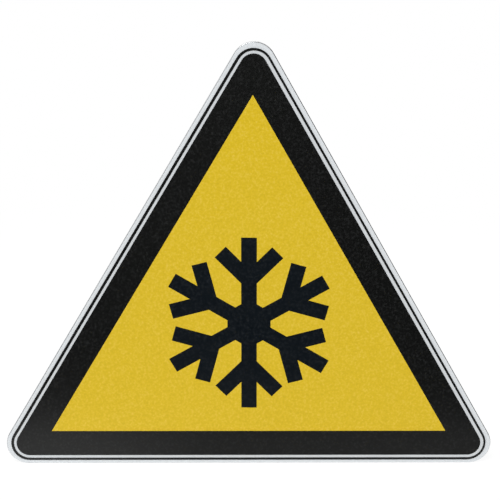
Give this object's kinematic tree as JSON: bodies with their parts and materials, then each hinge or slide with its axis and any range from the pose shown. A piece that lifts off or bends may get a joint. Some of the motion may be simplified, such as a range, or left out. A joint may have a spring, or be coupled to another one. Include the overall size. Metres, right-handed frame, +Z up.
{
  "type": "triangular warning sign",
  "caption": "Flat triangular warning sign with rounded corners: a metal plate faced with white film, printed with a black border, a yellow field and a snowflake for low temperature.",
  "frame": {"origin": "the middle of the plate's flat back face, which is the centre of the equal-sided triangle", "axes": "+X along the bottom edge, to the right seen from the front; +Y out of the back face; +Z up, towards the upper corner; the printed front faces -Y"},
  "size_m": [0.3, 0.0023, 0.2634],
  "materials": {
    "plate_metal": "mill finish, satin",
    "white_film": "fine-grained reflective film, semi-gloss",
    "black_print": "semi-gloss ink on fine-grained film",
    "yellow_print": "semi-gloss ink on fine-grained film",
    "snowflake_print": "semi-gloss ink on fine-grained film"
  },
  "bodies": {
    "root": {"sign_plate": "plate_metal", "face_film": "white_film", "contour_line": "black_print", "black_band": "black_print", "yellow_field": "yellow_print", "snowflake": "snowflake_print"}
  },
  "joints": []
}
